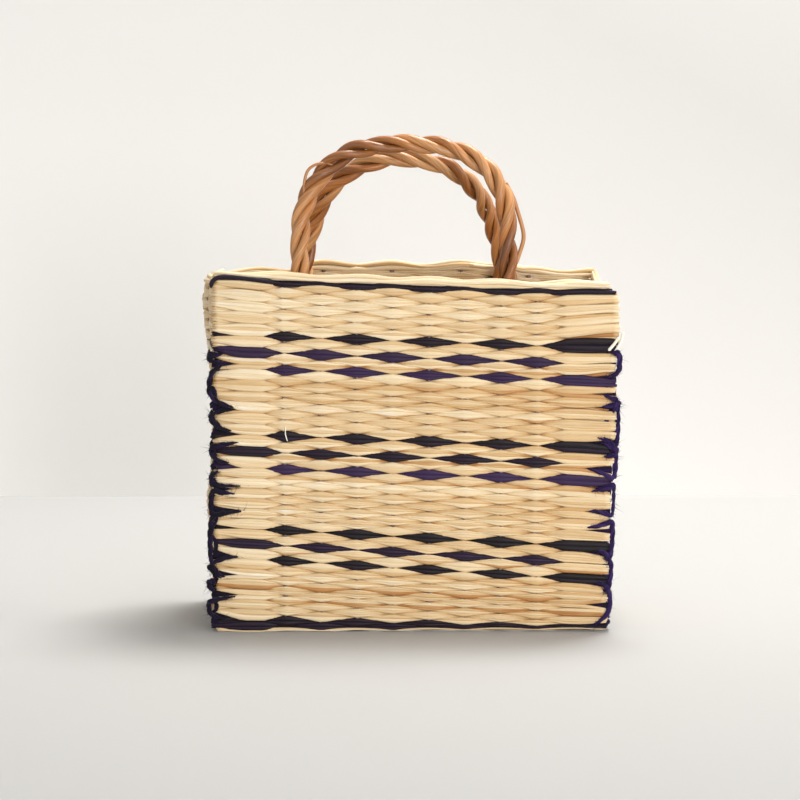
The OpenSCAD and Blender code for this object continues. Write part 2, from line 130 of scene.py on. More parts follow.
# How reeds vary, in rows, millimetres and tints from 0 to 1. A tip is the run and the start of an ease,
# a crease its start and slope, and a cut its strength, run and start. The crease darkens a reed where it
# dives under a warp, partly the less bleached colour of its hidden part and partly painted shade; the
# right cut pales the ends, partly their cut pith and partly a painted highlight.
reed_shares, lane_share, lane_fall, overlap = (0.65, 1.35), 0.9, 0.4, 1.28
left_ragged, right_ragged, right_pull = 1.2, 1.0, 0.3
left_gather, right_gather = 20, 18
wander_size, wander_runs, wander_out, full_turn = 0.10, (7, 16), 1.2, 6.3
lens_sharp, weave_sharp = 0.985, 0.93
crest_half, crest_out, crest_highlight = 2.2, 0.35, 0.06
thick_base, thick_share, thick_range, thick_chance = 0.55, 0.42, (0.6, 1.05), (0.9, 1.08)
left_tip, right_tip = (2.2, 0.45), (1.4, 0.6)
tint_low, tint_beta, tint_least, odd_tint, odd_reeds = 0.08, (2.0, 3.2), 0.12, 0.22, 0.95
shade_across, shade_down, shade_rows = 0.1, 0.09, (40, 20)
crease, right_cut_and_highlight, left_cut = (0.2, 0.5), (0.3, 1.2, 1), (0.25, 4, 0.9)
dye_chance, grain_span = 0.2, 40


def woven_reeds(rows, end, warp, pitch, count, height, seams, stations, seed,
                reeds_per_row=(2, 3, 4), swing=0.25, ends=None, tones=None, end_fade=0.42,
                phase=0, relief=1.4, unbleached_and_shade=0.42, pull=3.0):
    """Middle lines and half sizes of all reeds of a plain weave.

    Row k stands out from the middle of the mat by relief times a zigzag of the phase less k, so
    it passes over every second warp. Its bundle is as high as two rows over a warp and as one
    row between two warps. Towards the ends, stitches draw the rows of a group together.
    """
    draw = np.random.default_rng(seed)
    most = max(reeds_per_row)
    number = draw.choice(reeds_per_row, len(rows))
    used = np.arange(most)[None, :] < number[:, None]
    share = np.where(used, draw.uniform(*reed_shares, used.shape), 0)
    share = 2 * share / share.sum(1, keepdims=True)
    lane = np.cumsum(share, 1) - share / 2 - 1
    row = np.repeat(np.asarray(rows, float)[:, None], most, 1)[used][:, None]
    share, lane = share[used][:, None], lane[used][:, None]
    each = (len(row), 1)
    left_in, left_draw = drawn_in(row + 0.5 * lane, seams[0])
    right_in, right_draw = drawn_in(row + 0.5 * lane, seams[1])
    left_end, right_end = ends(row) if ends else (end + 0 * row, end + 0 * row)
    left_x = -left_end + pull * np.abs(left_in) ** 3 + draw.uniform(0, left_ragged, each)
    right_x = right_end - right_pull * pull * np.abs(right_in) ** 3 - draw.uniform(0, right_ragged, each)
    x = left_x + (right_x - left_x) * np.linspace(0, 1, stations)[None, :]
    u = wall_phase(x, end, warp, pitch, count, end_fade) + phase
    wander = wander_size * np.sin(x / draw.uniform(*wander_runs, each) + draw.uniform(0, full_turn, each))
    spread = 1 - swing + swing * zigzag(2 * u, lens_sharp)
    gather = (left_draw * left_in ** 3 * smooth(1 - (x + end) / left_gather)
              + right_draw * right_in ** 3 * smooth(1 - (end - x) / right_gather))
    level = row + lane_share * lane * spread * (1 + wander) - gather
    pitch_z = height(row - 0.5, x) - height(row + 0.5, x)
    over = zigzag(u - row, weave_sharp)
    outer_warps = (warp, warp + pitch * (count - 1))
    crest = sum(np.exp(-((x - outer) / crest_half) ** 2) for outer in outer_warps) * (over > 0)
    out = relief * over * (1 - lane_fall * lane ** 2) + crest_out * crest + wander_out * wander
    half_high = 0.5 * overlap * share * spread * pitch_z
    half_thick = np.clip(thick_base + thick_share * half_high, *thick_range)
    half_thick = half_thick * draw.uniform(*thick_chance, each)
    tips = (smooth((x - left_x) / left_tip[0] + left_tip[1])
            * smooth((right_x - x) / right_tip[0] + right_tip[1]))
    tint = tint_low + (1 - tint_low) * draw.beta(*tint_beta, each)
    tint = tint + odd_tint * (draw.random(each) > odd_reeds)
    # Painted shade: the front reeds darken to the right and towards the foot.
    if ends:
        tint = tint + shade_across * x / end + shade_down * smooth((row - shade_rows[0]) / shade_rows[1])
    # Darker where a reed dives under a warp: partly the less bleached colour of its hidden part, partly
    # painted shade.
    # Painted highlight: a reed is paler where it crests over an outer warp.
    tint = np.clip(tint, tint_least, 1) + unbleached_and_shade * smooth(crease[0] - crease[1] * over) - crest_highlight * crest
    # The right ends pale, partly their cut pith and partly a painted highlight; the left ends darken.
    if ends:
        tint = (tint - right_cut_and_highlight[0] * smooth((x - right_x) / right_cut_and_highlight[1] + right_cut_and_highlight[2])
                + left_cut[0] * smooth((left_x - x) / left_cut[1] + left_cut[2]))
    if tones is not None:
        tint = np.clip(np.interp(row, rows, tones) + draw.uniform(-dye_chance, dye_chance, each), 0, 1)
    middle = np.stack([x, -out, height(level, x)], -1)
    return {"middle": middle, "high": half_high * tips, "thick": half_thick * tips,
            "tint": np.broadcast_to(tint, x.shape), "id": draw.uniform(0, grain_span, each)}


def swept(reeds, across, out, sides):
    """Closed surfaces round many middle lines at once: middle + high cos(a) across + thick
    sin(a) out for the angle a, with a flat cap at each end. Grain follows the length."""
    middle, high, thick = reeds["middle"], reeds["high"], reeds["thick"]
    lines, rings = high.shape
    angle = 2 * np.pi * np.arange(sides) / sides
    side = high[..., None] * np.cos(angle)
    front = thick[..., None] * np.sin(angle)
    points = middle[:, :, None, :] + side[..., None] * across + front[..., None] * out
    index = np.arange(lines * rings * sides).reshape(lines, rings, sides)
    ahead = np.roll(index, -1, 2)
    quads = np.stack([index[:, :-1], ahead[:, :-1], ahead[:, 1:], index[:, 1:]], -1).reshape(-1, 4)
    caps = np.concatenate([index[:, 0, ::-1], index[:, -1]])
    step = np.linalg.norm(np.diff(middle, axis=1, prepend=middle[:, :1]), axis=2)
    run = np.repeat(np.cumsum(step, 1)[..., None], sides, 2)
    grain = np.stack([run, side + reeds["id"][..., None], front], -1).reshape(-1, 3)
    tint = np.repeat(reeds["tint"][..., None], sides, 2).ravel()
    return {"points": points.reshape(-1, 3), "quads": quads, "caps": caps, "grain": grain, "tint": tint}


def joined(parts):
    """Several swept surfaces as one, with caps of the same number of sides."""
    starts = np.cumsum([0] + [len(p["points"]) for p in parts[:-1]])
    whole = {k: np.concatenate([p[k] for p in parts]) for k in ("points", "grain", "tint")}
    for k in ("quads", "caps"):
        whole[k] = np.concatenate([p[k] + s for p, s in zip(parts, starts)])
    return whole


upward, outward = np.array([0, 0, 1.0]), np.array([0, -1.0, 0])
front_offset = np.array([0, -wall_middle, 0])


def facing(*groups):
    """One surface from groups of reeds that face the front."""
    return joined([swept(group, upward, outward, reed_sides) for group in groups])


def placed(surface, turn=np.eye(3)):
    """A surface moved out to the front wall, and turned from there to another wall."""
    surface["points"] = (surface["points"] + front_offset) @ turn
    return surface


def new_object(name, data):
    """An object of the scene."""
    made = bpy.data.objects.new(name, data)
    bpy.context.scene.collection.objects.link(made)
    return made


def add_piece(name, surface, material, slot, *nodes):
    """A piece of the look from a swept surface in millimetres, in place of the CAD nodes."""
    mesh = bpy.data.meshes.new(name)
    quads, caps = surface["quads"], surface["caps"]
    mesh.vertices.add(len(surface["points"]))
    mesh.vertices.foreach_set("co", (surface["points"] * MM).astype(np.float32).ravel())
    corners = np.concatenate([quads.ravel(), caps.ravel()]).astype(np.int32)
    sizes = np.concatenate([np.full(len(quads), 4), np.full(len(caps), caps.shape[1])])
    mesh.loops.add(len(corners))
    mesh.loops.foreach_set("vertex_index", corners)
    mesh.polygons.add(len(sizes))
    mesh.polygons.foreach_set("loop_start", np.concatenate([[0], np.cumsum(sizes)[:-1]]).astype(np.int32))
    mesh.polygons.foreach_set("use_smooth", np.ones(len(sizes), bool))
    mesh.update(calc_edges=True)
    mesh.attributes.new("grain", "FLOAT_VECTOR", "POINT").data.foreach_set(
        "vector", (surface["grain"] * MM).astype(np.float32).ravel())
    mesh.attributes.new("tint", "FLOAT", "POINT").data.foreach_set(
        "value", surface["tint"].astype(np.float32))
    mesh.materials.append(material)
    piece = new_object(name, mesh)
    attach(piece, "root")
    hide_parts(*nodes)


def node(tree, kind, links=(), **values):
    """A shader node with its settings and its input links (input, other node, its output)."""
    made = tree.nodes.new(kind)
    for name, value in values.items():
        if name in made.inputs:
            made.inputs[name].default_value = value
        else:
            setattr(made, name, value)
    for socket, other, output in links:
        tree.links.new(other.outputs[output], made.inputs[socket])
    return made


# Noise of the fibre: wide patches of tint, and fine streaks along the reed.
patch_scale, patch_detail, patch_share, patch_mean = (28, 60, 60), 3.0, 0.55, 0.27
streak_along, streak_detail, streak_range, ridge_depth = 22, 4.0, (0.3, 0.7), 0.0004


def reed_material(name, stops, rough, streak_depth, bump, gloss=0.35, sheen=0.0, fine=1800):
    """Plant fibre: the tint of each reed picks its colour, and noise stretched along the grain
    darkens, lightens and roughens it in fine streaks."""
    material = bpy.data.materials.new(name)
    material.use_nodes = True
    tree = material.node_tree
    tree.nodes.clear()
    tint = node(tree, "ShaderNodeAttribute", attribute_name="tint")
    grain = node(tree, "ShaderNodeAttribute", attribute_name="grain")

    def noise(scale, detail):
        """Noise stretched along the grain."""
        place = node(tree, "ShaderNodeMapping", [("Vector", grain, "Vector")], Scale=scale)
        return node(tree, "ShaderNodeTexNoise", [("Vector", place, "Vector")], Scale=1.0, Detail=detail)

    patch = noise(patch_scale, patch_detail)
    mixed = node(tree, "ShaderNodeMath", [(0, patch, "Fac"), (2, tint, "Fac")], operation="MULTIPLY_ADD")
    mixed.inputs[1].default_value = patch_share
    centred = node(tree, "ShaderNodeMath", [(0, mixed, 0)], operation="SUBTRACT")
    centred.inputs[1].default_value = patch_mean
    ramp = node(tree, "ShaderNodeValToRGB", [("Fac", centred, 0)])
    ramp.color_ramp.elements.remove(ramp.color_ramp.elements[1])
    ramp.color_ramp.elements[0].position = stops[0][0]
    ramp.color_ramp.elements[0].color = (*stops[0][1], 1)
    for place, colour in stops[1:]:
        ramp.color_ramp.elements.new(place).color = (*colour, 1)
    streak = noise((streak_along, fine, fine), streak_detail)
    level = node(tree, "ShaderNodeMapRange", [("Value", streak, "Fac")])
    level.inputs["From Min"].default_value, level.inputs["From Max"].default_value = streak_range
    level.inputs["To Min"].default_value, level.inputs["To Max"].default_value = 1 - streak_depth, 1.0
    shaded = node(tree, "ShaderNodeVectorMath", [(0, ramp, "Color"), ("Scale", level, "Result")],
                  operation="SCALE")
    ridge = node(tree, "ShaderNodeBump", [("Height", streak, "Fac")], Strength=bump, Distance=ridge_depth)
    surface = node(tree, "ShaderNodeBsdfPrincipled",
                   [("Base Color", shaded, "Vector"), ("Normal", ridge, "Normal")], Roughness=rough)
    surface.inputs["Specular IOR Level"].default_value = gloss
    surface.inputs["Sheen Weight"].default_value = sheen
    node(tree, "ShaderNodeOutputMaterial", [("Surface", surface, "BSDF")])
    return material


rush = reed_material("rush", [(0.0, straw_pith), (0.1, straw_pale), (0.42, straw_mid), (0.82, straw_tan),
                              (1.0, straw_orange)], rough=0.55, streak_depth=0.22, bump=0.5)
front_weave = (half_w, first_warp_x, warp_pitch, warp_count, front_height,
               (seam_rows_left, seam_rows_right), front_stations)
front_reeds = woven_reeds(plain_rows, *front_weave, seed=11, ends=front_ends)
add_piece("front_rush", placed(facing(front_reeds)), rush, "rush", "folded_mat")


# Dyed rows of the front wall: the same reeds, dyed dark violet, woven in as a line under the rim,
# three bands of three rows and a line over the base.
violet_black, violet_deep = (0.010, 0.007, 0.009), (0.018, 0.009, 0.022)
violet_light = (0.044, 0.021, 0.074)
dye_tones = (0.3, 0.3, 0.1, 0.65, 0.9, 0.3, 0.3, 0.85, 0.25, 0.6, 0.2, 0.4, 0.4)
dyed = reed_material("dyed_rush", [(0.0, violet_black), (0.5, violet_deep), (1.0, violet_light)],
                     rough=0.5, streak_depth=0.35, bump=0.5, gloss=0.2)
rim_line = woven_reeds(dyed_rows[:2], *front_weave, seed=21, reeds_per_row=(2,), swing=0.08,
                       ends=front_ends, tones=dye_tones[:2], relief=1.0)
bands = woven_reeds(dyed_rows[2:], *front_weave, seed=22, reeds_per_row=(2, 3), ends=front_ends,
                    tones=dye_tones[2:])
add_piece("front_dyed", placed(facing(rim_line, bands)), dyed, "dyed_rush", "front_dyed_reeds")


# Border of the front wall: a thick bundle of plain reeds laid along the rim over the last row,
# and one along the fold at the foot, both held by the warps.
rim_bundle, fold_bundle = 6, 4
border_rings, border_ragged = 90, 3
border_swell, border_sway, sway_run, part_turn = 0.15, 0.6, 29, 6
ring_high, ring_deep, border_high, border_thick = 0.8, 0.7, 0.62, 0.55
border_tip, border_tint, border_beta = (5, 0.35), 0.1, (2, 4)
rim_taper = ((-1, 0.45), (-0.65, 1), (1, 1))
fold_taper = ((-1, 1), (-0.6, 0.9), (-0.2, 0.55), (1, 0.3))


def border_reeds(count, end, height, level, out, radius, seed, wave=0.4, taper=((-1, 1), (1, 1))):
    """A bundle along a wall: reeds side by side in a ring round its middle line. It rises and swells
    between every second warp, and its radius follows the taper, pairs of place (-1 to 1) and share."""
    draw = np.random.default_rng(seed)
    each = (count, 1)
    turn = 2 * np.pi * (np.arange(count)[:, None] + draw.uniform(0, 1)) / count
    x = np.linspace(-1, 1, border_rings)[None, :] * (end - draw.uniform(0, border_ragged, each))
    weave = np.pi * (x - first_warp_x) / warp_pitch
    swell = 1 + border_swell * np.cos(weave + draw.uniform(-1, 1, each))
    radius = radius * np.interp(x / end, *np.transpose(taper)) * swell
    sway = turn + border_sway * np.sin(x / sway_run + draw.uniform(0, part_turn, each))
    z = height(level + 0 * x, x) + ring_high * radius * np.sin(sway) + wave * np.cos(weave)
    y = -(out + ring_deep * radius * np.cos(sway))
    tips = smooth((end - np.abs(x)) / border_tip[0] + border_tip[1])
    return {"middle": np.stack([x, y, z], -1), "high": border_high * radius * tips,
            "thick": border_thick * radius * tips,
            "tint": np.broadcast_to(border_tint + draw.beta(*border_beta, each), x.shape),
            "id": draw.uniform(0, grain_span, each)}


front_rim = border_reeds(rim_bundle, half_w, front_height, level=-0.45, out=0.2, radius=1.9, seed=31,
                         taper=rim_taper)
front_fold = border_reeds(fold_bundle, half_w, front_height, level=last_row + 1.1, out=0.8, radius=0.75,
                          seed=32, taper=fold_taper)
add_piece("front_border", placed(facing(front_rim, front_fold)), rush, "rush", "folded_mat")


# Rear wall of the folded mat, woven like the front but with even rows, two plain rows over its dyed
# line and a rim that rises a little at the handle; it is turned round to face the rear.
rear_drop, fold_top = 2.2, 2.5
rear_rim_z = rim_z - rear_drop
rear_rise, rear_droop, droop_power = 3.4, 2.0, 4
rise_reach, rise_run, rise_rows = 60, 13, 8
rear_stations = 48
rear_dyed_rows = np.array([3, 4, *dyed_rows[2:]])
rear_plain_rows = np.setdiff1d(np.arange(1, last_row + 1), rear_dyed_rows)
seam_rows_rear = np.array([18, 24, 30, 36, 42, 48, 54, 60, 65.0])


def rear_height(row, x):
    """Height of a row on the rear wall: even rows, of which the upper ones rise between the legs of
    the handle and droop to the ends."""
    level = rear_rim_z - row * (rear_rim_z - fold_top) / (last_row + 1)
    rise = rear_rise * (1 - smooth((np.abs(x) - rise_reach) / rise_run))
    rise = rise - rear_droop * (x / half_w) ** droop_power
    return level + rise * smooth(1 - row / rise_rows)


half_turn = np.diag([-1.0, -1.0, 1.0])
rear_weave = (half_w, first_warp_x, warp_pitch, warp_count, rear_height,
              (seam_rows_rear, seam_rows_rear + 1), rear_stations)
# The rear reeds get less of the painted shade and unbleached darkening where they dive under.
rear_reeds = woven_reeds(rear_plain_rows, *rear_weave, seed=41, phase=1, unbleached_and_shade=0.08)
add_piece("rear_rush", placed(facing(rear_reeds), half_turn), rush, "rush", "folded_mat")
rear_line = woven_reeds(rear_dyed_rows[:2], *rear_weave, seed=51, reeds_per_row=(2,), phase=1)
rear_bands = woven_reeds(rear_dyed_rows[2:], *rear_weave, seed=52, reeds_per_row=(2, 3), phase=1)
add_piece("rear_dyed", placed(facing(rear_line, rear_bands), half_turn), dyed, "dyed_rush",
          "rear_dyed_reeds")
rear_rim = border_reeds(rim_bundle, half_w, rear_height, level=0, out=0.2, radius=2.2, seed=61, wave=0.8)
rear_fold = border_reeds(fold_bundle, half_w, rear_height, level=last_row + 0.7, out=0.2, radius=1.4,
                         seed=62)
add_piece("rear_border", placed(facing(rear_rim, rear_fold), half_turn), rush, "rush", "folded_mat")


# Base of the folded mat: plain reeds that lie by turns under and over all the warps, so that the
# bag stands on every second bundle.
base_count, base_stations = 30, 14
base_rows = np.arange(1, base_count)
base_half = half_d - mat_t
no_warps = 1e6
no_seam = np.array([90.0])


def base_height(row, x):
    """Place of a base row across the bag, from one wall to the other."""
    return np.interp(row, (0, base_count), (base_half, -base_half)) + 0 * x


base_weave = (half_w, 0, no_warps, 1, base_height, (no_seam, no_seam), base_stations)
base_reeds = facing(woven_reeds(base_rows, *base_weave, seed=71, end_fade=0, phase=1))
tipped = np.array([[1.0, 0, 0], [0, 0, 1.0], [0, -1.0, 0]])
base_reeds["points"] = base_reeds["points"] @ tipped + np.array([0, 0, mat_t / 2])
add_piece("base_rush", base_reeds, rush, "rush", "folded_mat")


# Side mats: two narrow mats of the same weave stand between the walls, each on three warps. Their reeds
# are tucked between those of the walls, and the left one swells out a little where nothing holds it.
side_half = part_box("left_side_mat")[1][1] / MM
side_overhang, side_tuck = 24, 1.4
side_warps, side_stations = 3, 22
side_pitch = 2 * (side_half - side_overhang) / (side_warps - 1)
side_middle = half_w - mat_t / 2
swell_heights = (0, 20, 50, 75, 95, 120, 150, 165, 180, 197, 215)
left_swell = (0, 3, 5, 7.5, 4, 3, 4, 5.5, 7.5, 9, 5.5)
right_swell = (0,) * len(swell_heights)
left_rim_z, right_rim_z = 213, 206
left_sag, right_sag = 2.0, 5.4
foot_gap, rim_rows = 0.25, 10
side_foot = mat_t + foot_gap
side_plain_rows = np.concatenate([dyed_rows[:2], plain_rows])


def add_side(name, near_rim, far_rim, swell, sag, turn, seed):
    """One side mat, woven facing the front and then turned round to its side."""
    def side_height(row, x):
        """Height of a row: even rows, of which the upper ones follow a rim that goes from its height
        at one end to that at the other and sags between."""
        rim = far_rim + (near_rim - far_rim) * (x / side_half + 1) / 2
        rim = rim - sag * np.cos(np.pi * x / 2 / side_half)
        level = rear_rim_z - row * (rear_rim_z - side_foot) / (last_row + 1)
        return level + (rim - rear_rim_z) * smooth(1 - row / rim_rows)

    weave = (side_half + side_tuck, side_overhang - side_half, side_pitch, side_warps, side_height,
             (no_seam, no_seam), side_stations)
    ways = {"end_fade": 0.2, "phase": 1, "pull": 0}
    plain = woven_reeds(side_plain_rows, *weave, seed=seed, **ways)
    border = border_reeds(rim_bundle, side_half, side_height, level=0.3, out=0.2, radius=2.0, seed=seed + 1)
    bright = woven_reeds(dyed_rows[2:], *weave, seed=seed + 2, reeds_per_row=(2, 3), **ways)
    for kind, groups, material, slot, cad in (("rush", (plain, border), rush, "rush", "side_mat"),
                                              ("dyed", (bright,), dyed, "dyed_rush", "dyed_reeds")):
        surface = facing(*groups)
        x, z = surface["points"][:, 0], surface["points"][:, 2]
        bulge = np.cos(np.pi * x / 2 / side_half) * np.interp(z, swell_heights, swell)
        surface["points"][:, 1] -= side_middle + bulge
        surface["points"] = surface["points"] @ turn
        add_piece(f"{name}_{kind}", surface, material, slot, f"{name}_{cad}")


quarter_left = np.array([[0, -1.0, 0], [1.0, 0, 0], [0, 0, 1.0]])
quarter_right = np.array([[0, 1.0, 0], [-1.0, 0, 0], [0, 0, 1.0]])
add_side("left", left_rim_z, rear_rim_z, left_swell, left_sag, quarter_left, seed=81)
add_side("right", rear_rim_z, right_rim_z, right_swell, right_sag, quarter_right, seed=91)


# Warps: flat cotton cords that go over and under the reeds of the front and rear wall, seen in some
# of the creases between them.
warp_wide, warp_thick, warp_swing = 1.3, 0.55, 1.3
warp_rings, warp_sides = 170, 4
swing_change, swing_rows, warp_tints = 0.2, 0.83, (0.1, 0.9)
warp_x = first_warp_x + warp_pitch * np.arange(warp_count)
warp_brown, warp_pink = (0.15, 0.08, 0.08), (0.42, 0.27, 0.21)
sideways = np.array([1.0, 0, 0])
cotton = reed_material("cotton", [(0.0, warp_brown), (1.0, warp_pink)], rough=0.85, streak_depth=0.3,
                       bump=0.6, gloss=0.2)


def warp_cords(height, phase, start, seed):
    """Upright cords through a wall from one row down to its foot: out of its middle by a cosine of the
    row number, opposite to the way the reeds go and more so at some rows than at others."""
    draw = np.random.default_rng(seed)
    level = np.linspace(start, last_row - 1, warp_rings)[None, :]
    x = warp_x[:, None] + 0 * level
    change = np.sin(swing_rows * level + draw.uniform(0, part_turn, (warp_count, 1)))
    swing = warp_swing * (1 + swing_change * change)
    out = -swing * np.cos(np.pi * (np.arange(warp_count)[:, None] + phase - level))
    size = np.ones(x.shape)
    cords = {"middle": np.stack([x, -out, height(level, x)], -1), "high": warp_wide * size,
             "thick": warp_thick * size, "tint": draw.uniform(*warp_tints, x.shape),
             "id": draw.uniform(0, grain_span, (warp_count, 1))}
    return swept(cords, sideways, outward, warp_sides)


front_warps = placed(warp_cords(front_height, phase=0, start=first_plain_row, seed=140))
rear_warps = placed(warp_cords(rear_height, phase=1, start=0, seed=141), half_turn)
add_piece("warps", joined([front_warps, rear_warps]), cotton, "twine", "folded_mat")


# Seam yarn: hairy two-ply wool that lashes the reed ends of the walls to the side mats. Each length
# comes out of a gap between two groups of reeds, slants over their ends, runs down the edge and goes
# into a lower gap. Each row of lengths below holds four heights (inner end, edge, edge, inner end)
# and how deep both ends lie in their gaps.
front_left_lengths = np.array([
    (162.9, 155.7, 142.0, 135.0, 12, 19), (135.0, 131.8, 126.3, 121.2, 19, 15),
    (114.9, 112.5, 106.2, 102.1, 21, 13), (96.9, 95.7, 89.1, 88.5, 4, 24),
    (83.7, 86.1, 71.6, 73.4, 18, 24), (73.4, 70.4, 42.6, 46.6, 24, 22),
    (32.9, 41.4, 37.7, 36.5, 10, 2), (30.4, 29.8, 26.8, 25.6, 3, 3), (21.9, 19.2, 11.6, 7.9, 20, 10),
    (167.9, 165.7, 163.7, 162.5, 10, 11)])
front_right_lengths = np.array([
    (168.7, 166.9, 156.8, 153.2, 5, 7), (142.7, 138.9, 112.5, 117.9, 10, 16),
    (136.0, 137.7, 134.7, 132.9, 11, 3), (114.3, 110.1, 92.7, 99.0, 10, 21),
    (84.6, 89.1, 71.0, 73.7, 18, 17), (62.5, 66.2, 46.8, 49.6, 20, 10), (45.0, 43.8, 26.8, 30.1, 4, 9),
    (25.6, 24.4, 11.0, 3.7, 4, 12), (117.0, 111.5, 107.0, 105.8, 9, 8)])
wall_reach, side_reach, foot_reach = (13.0, 24.0), (7.0, 12.0), (8.0, 11.0)
edge_slant, tip_sunk, edge_past, most_loose = 3.5, 0.9, 0.2, 0.6
lash_steps, edge_high = ((0.12, 0.66, 0.7), (0.5, 0.3, 1.0)), 0.8
run_shares, run_high = (0.25, 0.75), 0.2
yarn_r, ply_r, yarn_twist = 0.5, 0.95, 13.0
yarn_rings, ply_sides = 42, 6
lump_size, lump_run, yarn_tip, tip_run, ply_tint = 0.18, 0.37, 0.08, 3.6, 0.15
front_hairs, other_hairs = 210, 12
hair_r, hair_thin, hair_rings, hair_sides = 0.14, 1.15, 4, 3
hair_along, hair_bow, hair_gamma, hair_lengths = 0.8, 0.5, (2.2, 0.7), (1.2, 5)
root_margin = 2
wad_high, wad_thick, wad_rings, wad_deep = 2.6, 1.6, 20, (17, 30)
wad_sizes, wad_point, wad_power, wad_thin = (0.85, 1.1), 0.09, 1.5, 0.3
wad_past, wad_over, wad_tint = 0.2, 0.8, 0.3
again_shift, again_deep, again_slack = np.array([0.5, 1.4, 1.4, 0.5, 0, 0]), (0.55, 0.95), 1.3
front_tall, again_tall, rear_tall, side_tall = 2.7, 3.3, 2.5, 2.6
edge_in, rear_out, flank_in, foot_up = 0.6, 0.4, 3.4, 2.9
yarn_foot_z, foot_stitches = 2.6, 5
slanted, tiny, short_of_end = np.array([0.55, 0.65, 0.52]), 1e-9, 1e-6
dark_tone, violet_tone = 0.08, 0.5
violet_ink, violet_wool = (0.008, 0.005, 0.013), (0.034, 0.015, 0.095)
violet_glint = (0.130, 0.072, 0.340)
wool = reed_material("wool_yarn", [(0.0, violet_ink), (0.5, violet_wool), (1.0, violet_glint)],
                     rough=0.85, streak_depth=0.55, bump=0.9, gloss=0.15, sheen=0.08)


def unit(vectors):
    """The same directions with length 1."""
    return vectors / np.maximum(np.linalg.norm(vectors, axis=-1, keepdims=True), tiny)


def tube_frame(middle):
    """Two unit vectors across each line: one level with a fixed slanted axis, one square to it."""
    along = unit(np.gradient(middle, axis=1))
    across = unit(np.cross(slanted, along))
    return across, np.cross(along, across)


def tubes(lines, sides):
    """Round cords along any lines."""
    across, back = tube_frame(lines["middle"])
    return swept(lines, across[:, :, None, :], back[:, :, None, :], sides)


def even_lengths(places, reach, draw):
    """Lengths of yarn between stitches at even places, in the same six columns."""
    start, stop = places[:-1], places[1:]
    slant = edge_slant * np.sign(stop - start)
    deep = draw.uniform(*reach, len(places))
    return np.stack([start, start + slant, stop - slant, stop, deep[:-1], deep[1:]], -1)


def lashing(lengths, tall, draw, slack=0.8):
    """Control points of lengths of yarn, as place along the edge, distance in from the edge and
    height over the mat: in the gap, over the edge, along it and back in."""
    tip_a, edge_a, edge_b, tip_b, deep_a, deep_b = lengths.T
    none = 0 * tip_a
    loose = -slack - draw.uniform(0, most_loose, len(tip_a))

    def over_edge(tip, edge, deep):
        """From the gap out to the edge; each step has its share of the way, the depth and the height."""
        steps = [((1 - way) * tip + way * edge, inner * deep, none + high * tall)
                 for way, inner, high in lash_steps]
        return [(tip, deep, none - tip_sunk), *steps, (edge, none - edge_past, none + edge_high * tall)]

    along = [(edge_a + share * (edge_b - edge_a), loose, none + run_high * tall) for share in run_shares]
    spots = over_edge(tip_a, edge_a, deep_a) + along + over_edge(tip_b, edge_b, deep_b)[::-1]
    return np.stack([np.stack(spot, -1) for spot in spots], 1)


def curve_through(control, rings):
    """Smooth lines through rows of control points: cubic pieces whose slope at each point is half
    the step between its neighbours."""
    padded = np.concatenate([control[:, :1], control, control[:, -1:]], 1)
    t = np.linspace(0, control.shape[1] - 1 - short_of_end, rings)
    i, f = t.astype(int), (t % 1)[None, :, None]
    a, b, c, d = (padded[:, i + k] for k in range(4))
    square, cube = 2 * a - 5 * b + 4 * c - d, 3 * b - a - 3 * c + d
    return 0.5 * (2 * b + (c - a) * f + square * f ** 2 + cube * f ** 3)


def yarn_surface(middle, tone, hairs_each, draw):
    """Two plies twisted round each line, and hairs that stand off them in shallow curves."""
    lines, rings = middle.shape[:2]
    each = (lines, 1)
    across, back = tube_frame(middle)
    step = np.linalg.norm(np.diff(middle, axis=1, prepend=middle[:, :1]), axis=2)
    turn = 2 * np.pi * np.cumsum(step, 1) / yarn_twist + draw.uniform(0, part_turn, each)
    ends = np.linspace(0, 1, rings)
    thick = 1 + lump_size * np.sin(turn * lump_run + draw.uniform(0, part_turn, each))
    thick = thick * (yarn_tip + (1 - yarn_tip) * smooth(tip_run * np.minimum(ends, 1 - ends)))
    parts = []
    for ply in (0, np.pi):
        aside = np.cos(turn + ply)[..., None] * across + np.sin(turn + ply)[..., None] * back
        tint = np.broadcast_to(tone + draw.uniform(-ply_tint, ply_tint, each), turn.shape)
        body = {"middle": middle + (yarn_r * thick)[..., None] * aside, "high": ply_r * thick,
                "thick": ply_r * thick, "tint": tint, "id": draw.uniform(0, grain_span, each)}
        parts.append(swept(body, across[:, :, None, :], back[:, :, None, :], ply_sides))
    line = np.repeat(np.arange(lines), hairs_each)
    root = draw.integers(root_margin, rings - root_margin, len(line))
    lean = unit(draw.normal(0, 1, (len(line), 3)) + hair_along * np.gradient(middle, axis=1)[line, root])
    bow = draw.normal(0, hair_bow, (len(line), 3))
    t = np.linspace(0, 1, hair_rings)[None, :, None]
    length = draw.gamma(*hair_gamma, (len(line), 1, 1)).clip(*hair_lengths)
    hair = middle[line, root][:, None, :] + length * (lean[:, None, :] * t + bow[:, None, :] * t ** 2)
    hair[..., 2] = np.maximum(hair[..., 2], hair_r)
    taper = np.broadcast_to(hair_r * (hair_thin - t[..., 0]), hair.shape[:2])
    fuzz = {"middle": hair, "high": taper, "thick": taper, "tint": np.full(hair.shape[:2], tone),
            "id": draw.uniform(0, grain_span, (len(line), 1))}
    return parts, tubes(fuzz, hair_sides)


